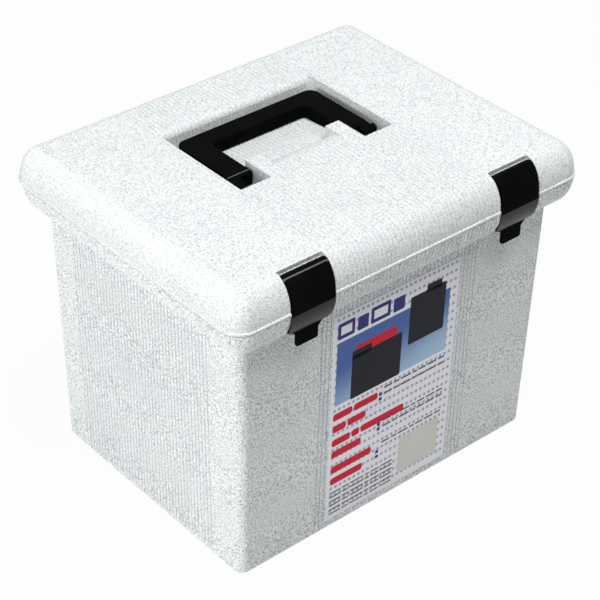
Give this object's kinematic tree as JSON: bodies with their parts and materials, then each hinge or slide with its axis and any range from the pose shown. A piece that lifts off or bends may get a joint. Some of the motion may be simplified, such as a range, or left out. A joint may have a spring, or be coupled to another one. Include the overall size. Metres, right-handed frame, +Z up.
{
  "type": "portable file box",
  "caption": "Portable file box: a moulded tub with a hinged domed lid, a fold-down carry handle sunk in the lid, snap latches and rails for hanging folders.",
  "frame": {"origin": "middle of the footprint, on the plane of the feet", "axes": "+X along the front from the left latch to the right latch, +Y from the front to the hinges, +Z up"},
  "size_m": [0.3556, 0.2826, 0.2794],
  "materials": {
    "box_shell": "speckled pale grey, finely ribbed",
    "lid_shell": "speckled pale grey, finely ribbed",
    "handle": "satin black",
    "latch": "satin black",
    "pin_steel": "plain",
    "label_card": null
  },
  "bodies": {
    "box": {"box_body": "box_shell", "hinge_pin_left": "pin_steel", "hinge_pin_right": "pin_steel", "front_label": "label_card"},
    "lid": {"lid": "lid_shell", "handle_pin_left": "pin_steel", "handle_pin_right": "pin_steel", "latch_pin_left": "pin_steel", "latch_pin_right": "pin_steel"},
    "handle": {"carry_handle": "handle"},
    "left_latch": {"latch_left": "latch"},
    "right_latch": {"latch_right": "latch"}
  },
  "joints": [
    {"name": "lid_hinge", "type": "hinge", "parent": "box", "child": "lid", "pos_m": [0, 0.1377, 0.2505], "axis": [-1, 0, 0], "range_deg": [0, 105]},
    {"name": "handle_pivot", "type": "hinge", "parent": "lid", "child": "handle", "pos_m": [0, -0.0045, 0.269], "axis": [1, 0, 0], "range_deg": [0, 120]},
    {"name": "left_latch_pivot", "type": "hinge", "parent": "lid", "child": "left_latch", "pos_m": [-0.1053, -0.12778, 0.27345], "axis": [-1, 0, 0], "range_deg": [0, 110]},
    {"name": "right_latch_pivot", "type": "hinge", "parent": "lid", "child": "right_latch", "pos_m": [0.1053, -0.12778, 0.27345], "axis": [-1, 0, 0], "range_deg": [0, 110]}
  ]
}
